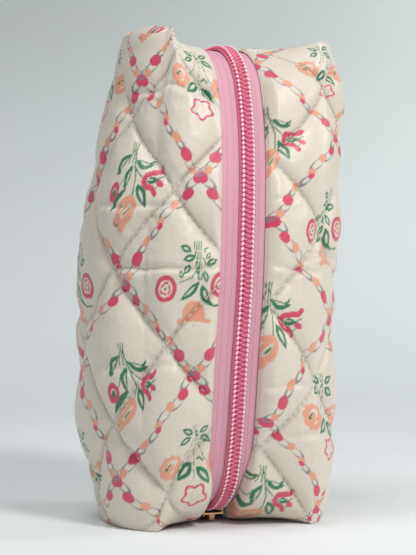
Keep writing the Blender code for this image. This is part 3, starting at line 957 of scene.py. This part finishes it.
def stitch_frames(points, normals, flat):
    """(centres, half axes, nearest grid points) of the quilting's stitches, laid on the cloth."""
    tree = KDTree(len(flat))
    for number, (girth, run) in enumerate(flat):
        tree.insert((girth, run, 0), number)
    tree.balance()
    centres, axes, nearest = [], [], []
    for girth, run, sign in stitch_places():
        steps = (-STITCH_SPAN, 0, STITCH_SPAN)
        found = [tree.find((girth + step, run - sign * step, 0)) for step in steps]
        before, here, after = (number for _, number, _ in found)
        along = points[after] - points[before]
        length = np.linalg.norm(along)
        if found[1][2] > STITCH_MISS or not 1.5 * MM < length < 8 * MM:
            continue
        along = along / length
        side = np.cross(normals[here], along)
        side /= np.linalg.norm(side)
        up = np.cross(along, side)
        middle = (points[before] + points[after] + 2 * points[here]) / 4
        centres.append(middle + up * THREAD_LIFT * MM)
        axes.append([axis * size * MM for axis, size in zip((along, side, up), STITCH_SIZE)])
        nearest.append(here)
    return np.array(centres), np.array(axes), np.array(nearest)


def make_quilt():
    """The outer cloth and its stitches, cut at the folds and halfway up each panel."""
    points, normals, colours, quads, place, flat = quilt_shell()
    spots, axes, nearest = stitch_frames(points, normals, flat)
    for part, body, stretch, here in cloth_parts(place[nearest]):
        stitches = blobs("quilting_stitches_" + part, spots[here], axes[here], THREAD, 6, 5)
        attach(stitches, body, stretch)
    for part, body, stretch, wanted in cloth_parts(place[quads].mean(axis=1)):
        piece = mesh_object("quilt_" + part, points, quads[wanted], SATIN, colours, normals)
        attach(piece, body, stretch)
        node = cad_part(part)
        if stretch != "lower":
            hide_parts("satin_" + node, "wadding_" + node)
    make_tucks(points, normals, colours, quads, place)


def make_tucks(points, normals, colours, quads, place):
    """Cloth of the bag tucked under each front panel's fold line, behind the gap there."""
    tucked = np.clip((HINGE_U - np.abs(place[:, 0])) / TUCK_U, 0, 1)
    under = points - normals * (0.1 * MM + TUCK_DEPTH * smooth(tucked))[:, None]
    centres = place[quads].mean(axis=1)
    for hand, side in HANDS:
        across = centres[:, 0] * side
        strip = is_front(centres[:, 1]) & (across < HINGE_U) & (across > HINGE_U - TUCK_U)
        tuck = mesh_object("quilt_tuck_" + hand, under, quads[strip], SATIN, colours)
        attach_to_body(tuck, "bag")


def make_lining():
    """The lining, cut in the same places as the outer cloth."""
    cube, quads = cube_shell(LINING_GRID)
    u, v, w = stretch_u(cube[:, 0]), cube[:, 1], cube[:, 2]
    face = cloth_face(u, v, w)
    girth, run = cloth_coordinates(u, v, w)
    depth = LINING_DEPTH + np.maximum(cloth_lift(run_at(v, w)) - CLOTH_ABOVE, 0)
    depth += 0.35 * MM * layered_noise(girth / (14 * MM), run / (19 * MM), 31)
    points = face - vertex_normals(face, quads) * depth[:, None]
    points[:, 2] = np.clip(points[:, 2], *LINING_HEIGHTS)
    centres = np.stack([u, v, w], axis=1)[quads].mean(axis=1)
    for part, body, stretch, wanted in cloth_parts(centres):
        piece = mesh_object("inner_lining_" + part, points, quads[wanted][:, ::-1], LINING)
        thicken(piece, LINING_THICKNESS)
        attach(piece, body, stretch)
        node = cad_part(part)
        if stretch != "lower":
            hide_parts("lining_" + node)


# ---- the zip

TAPE_INNER = 0.8 * MM
TAPE_OUTER = 14.5 * MM
TAPE_SUNK = 0.28 * MM  # keeps the tape clear of the slider on the corner
TAPE_STEP = 0.26 * MM / DETAIL
RIB_WIDTH = 2.7 * MM  # the tape's herringbone: width of a column of twill, and its pitch
RIB_PITCH = 1.25 * MM
TOOTH_PITCH = 1.9 * MM
TOOTH_SIZE = (1.95 * MM, 0.60 * MM, 0.72 * MM)  # half sizes across, along and outwards
TOOTH_PLACE = (1.12 * MM, 1.35 * MM)  # its middle from the zip's middle, and its lift
DASH_SIZE = (0.46 * MM, 0.88 * MM, 0.34 * MM)  # the same for the stitches that hold the loops
DASH_PLACE = (2.15 * MM, 2.12 * MM)
DASH_LEAN = math.radians(20)
CORD_WIDTH = 3.3 * MM
CORD_LIFT = 1.2 * MM
WEAVE_DEPTH = 0.10 * MM
TAPE_THICKNESS = 0.4 * MM


def strip_object(name, side, x, run, lift, flipped, surface, colours=None):
    """A strip of one side's tape from a grid of distances across, runs along the zip and lifts."""
    points = on_path(side * x.ravel(), run.ravel(), lift.ravel())
    return mesh_object(name, points, grid_quads(*x.shape, flipped), surface, colours)


def grid_quads(rows, columns, flipped):
    """The squares between the points of a grid, row after row."""
    corner = np.arange((rows - 1) * columns).reshape(rows - 1, columns)[:, :-1].ravel()
    loop = np.stack([corner, corner + 1, corner + columns + 1, corner + columns], axis=1)
    return loop[:, ::-1] if flipped else loop


def herringbone(x, run):
    """The tape's relief from 0 to 1: slanting ribs that turn back from column to column."""
    column = np.floor(x / RIB_WIDTH)
    slant = np.where(column % 2 == 0, 1, -1) * (x - column * RIB_WIDTH)
    rib = 0.5 + 0.5 * np.cos(2 * math.pi * (run + slant) / RIB_PITCH)
    edge = np.abs(x / RIB_WIDTH - np.round(x / RIB_WIDTH)) * RIB_WIDTH
    return rib * smooth(edge / (0.3 * MM))


def make_tape(hand, side, stretch, way):
    """The woven tape of one side for one half of the zip."""
    runs = way * np.arange(0, HALF_PATH, TAPE_STEP)
    x, run = np.meshgrid(np.arange(TAPE_INNER, TAPE_OUTER, TAPE_STEP), runs)
    weave = herringbone(x, run)
    colours = srgb(240, 176, 194) * (0.68 + 0.40 * weave.ravel()[:, None])
    lift = WEAVE_DEPTH * weave - TAPE_SUNK
    name = f"zip_tape_{hand}_{stretch}_cloth"
    piece = strip_object(name, side, x, run, lift, side * way < 0, TAPE, colours)
    thicken(piece, TAPE_THICKNESS)
    attach(piece, hand + "_panel", stretch)
    return piece


def blobs(name, centres, axes, surface, across=10, around=6):
    """Many rounded pieces in one mesh, each with three half axes."""
    polar = np.linspace(0, math.pi, around)
    turn = np.arange(across) * 2 * math.pi / across
    ball = np.array([(math.cos(a), math.sin(a) * math.cos(b), math.sin(a) * math.sin(b))
                     for a in polar for b in turn])
    points = (centres[:, None, :] + np.einsum("pk,nkx->npx", ball, axes)).reshape(-1, 3)
    loop = np.array([(r * across + c, (r + 1) * across + c,
                      (r + 1) * across + (c + 1) % across, r * across + (c + 1) % across)
                     for r in range(around - 1) for c in range(across)])
    quads = (loop[None] + (np.arange(len(centres)) * len(ball))[:, None, None]).reshape(-1, 4)
    return mesh_object(name, points, quads, surface)


def path_frames(x, runs, lift, sizes, lean_angle=0.0):
    """(centres, half axes) for pieces set along the path, leaning within the tape's plane."""
    step = 0.1 * MM
    centres = on_path(x, runs, lift)
    along = on_path(x, runs + step, lift) - on_path(x, runs - step, lift)
    along /= np.linalg.norm(along, axis=1)[:, None]
    outwards = on_path(x, runs, lift + step) - on_path(x, runs, lift)
    outwards /= np.linalg.norm(outwards, axis=1)[:, None]
    side = np.cross(along, outwards)
    cos, sin = math.cos(lean_angle), math.sin(lean_angle)
    axes = np.stack([(side * cos + along * sin) * sizes[0],
                     (along * cos - side * sin) * sizes[1],
                     outwards * sizes[2]], axis=1)
    return centres, axes


def make_coil(hand, side, stretch, way):
    """One side of the chain for half the zip: loops, the cord under them, their stitches."""
    reach = HALF_PATH - 3 * MM
    first = TOOTH_PITCH * (0.25 if side * way > 0 else 0.75)  # the two sides' loops alternate
    turns = way * np.arange(first, reach, TOOTH_PITCH)
    frames = path_frames(side * TOOTH_PLACE[0], turns, TOOTH_PLACE[1], TOOTH_SIZE)
    loops = blobs(f"zip_loops_{hand}_{stretch}", *frames, COIL)
    frames = path_frames(side * DASH_PLACE[0], turns, DASH_PLACE[1], DASH_SIZE, side * DASH_LEAN)
    dashes = blobs(f"zip_stitches_{hand}_{stretch}", *frames, STITCH)
    runs = way * np.arange(0, reach, 0.5 * MM)
    x, run = np.meshgrid(np.linspace(0.12, 3.2, 9) * MM, runs)
    lift = CORD_LIFT * np.sin(math.pi * x / CORD_WIDTH) ** 0.5
    base = strip_object(f"zip_cord_{hand}_{stretch}", side, x, run, lift, side * way < 0, COIL)
    for piece in (loops, dashes, base):
        attach(piece, hand + "_panel", stretch)
    return loops


def make_zip():
    """Both tapes and both halves of the chain, cut halfway up the zip."""
    for hand, side in HANDS:
        for stretch, way in STRETCHES:
            tape = make_tape(hand, side, stretch, way)
            coil = make_coil(hand, side, stretch, way)
            end = "top_end" if stretch == "upper" else "bottom_end"
            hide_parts(f"zip_tape_{hand}_{end}")
            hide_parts(f"zip_coil_{hand}_{end}")
            if stretch == "upper":
                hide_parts(f"zip_tape_{hand}_front")
                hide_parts(f"zip_coil_{hand}_front")


BINDING_GRID = (24, 24, 24)
BINDING_SQUARENESS = 5
BINDING_WAVE = 0.1 * MM


def make_binding(node):
    """The soft strip that stands for one bound seam, the size of its CAD node."""
    low, high = (np.array(corner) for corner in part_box(node))
    cube, quads = cube_shell(BINDING_GRID)
    reach = np.sum(np.abs(cube) ** BINDING_SQUARENESS, axis=1) ** (1 / BINDING_SQUARENESS)
    points = (low + high) / 2 + cube / reach[:, None] * (high - low) / 2
    long_axis = int(np.argmax(high - low))
    points[:, 1 - long_axis] += np.sin(cube[:, long_axis] * 9) * BINDING_WAVE
    piece = mesh_object(node + "_cloth", points, quads, BINDING)
    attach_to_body(piece, "bag")
    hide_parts(node)


make_quilt()
make_lining()
make_zip()
for end in ("bottom", "top"):
    make_binding(f"end_seam_binding_{end}")
    for hand in ("left", "right"):
        make_binding(f"corner_seam_binding_{end}_{hand}")

# ---- floor, light and camera

CAMERA_AZIMUTH = math.radians(-21)
CAMERA_DISTANCE = 635 * MM
CAMERA_HEIGHT = 100 * MM
LENS = 99.7
SENSOR = 36.0

camera_data = bpy.data.cameras.new("camera")
camera_data.sensor_fit = "VERTICAL"
camera_data.sensor_height = SENSOR
camera_data.lens = LENS
camera = add_object("camera", camera_data)
camera.location = (CAMERA_DISTANCE * math.sin(CAMERA_AZIMUTH),
                   -CAMERA_DISTANCE * math.cos(CAMERA_AZIMUTH), CAMERA_HEIGHT)
camera.rotation_euler = (math.pi / 2, 0, CAMERA_AZIMUTH)
bpy.context.scene.camera = camera


def area_light(name, place, target, size, power, colour):
    """A round lamp that faces its target."""
    data = bpy.data.lights.new(name, "AREA")
    data.shape = "DISK"
    data.size = size
    data.energy = power
    data.color = colour
    lamp = add_object(name, data)
    lamp.location = place
    lamp.rotation_euler = (Vector(target) - Vector(place)).to_track_quat("-Z", "Y").to_euler()


FLOOR_COLOUR = (0.86, 0.89, 0.90)
WALL_COLOUR = (0.53, 0.56, 0.553)


def backdrop(half_width, front, start, radius, top):
    """A floor that curves up into a wall behind the bag."""
    bends = np.linspace(0, math.pi / 2, 33)
    profile = [(front, 0.0)]
    profile += [(start + radius * math.sin(bend), radius * (1 - math.cos(bend))) for bend in bends]
    profile.append((start + radius, top))
    points = np.array([(x, y, z) for y, z in profile for x in (-half_width, half_width)])
    share = smooth(points[:, 2] / (0.6 * radius))[:, None]
    colours = np.array(FLOOR_COLOUR) * (1 - share) + np.array(WALL_COLOUR) * share
    cloth = add_grain(material("backdrop", FLOOR_COLOUR, 0.85), 400, 0.0, 1.0, True)
    return mesh_object("backdrop", points, grid_quads(len(profile), 2, False), cloth, colours)


backdrop(4.0, -2.5, 0.55, 0.9, 3.0)

MIDDLE = (0, 0, 0.1)
WARM = (1.0, 0.99, 0.98)
LIGHTS = (  # (name, place, target, size, power, colour)
    ("key", (0.25, -1.0, 1.0), MIDDLE, 0.30, 9.0, WARM),
    ("right", (0.95, -0.30, 0.55), MIDDLE, 0.25, 2.4, WARM),
    ("top", (-0.35, -0.25, 1.2), MIDDLE, 0.6, 5.0, (0.97, 0.98, 1.0)),
    ("left", (-0.6, -1.1, 0.5), MIDDLE, 0.4, 0.4, (0.95, 0.97, 1.0)),
    ("wall_wash", (1.4, 0.9, 1.2), (1.2, 1.9, 0.5), 1.0, 12, (0.97, 1.0, 0.99)),
)
for light in LIGHTS:
    area_light(*light)
world = bpy.data.worlds.new("world")
world.use_nodes = True
background = world.node_tree.nodes["Background"].inputs
background["Color"].default_value = (0.75, 0.8, 0.82, 1)
background["Strength"].default_value = 0.27
bpy.context.scene.world = world
bpy.context.scene.view_settings.view_transform = "Standard"
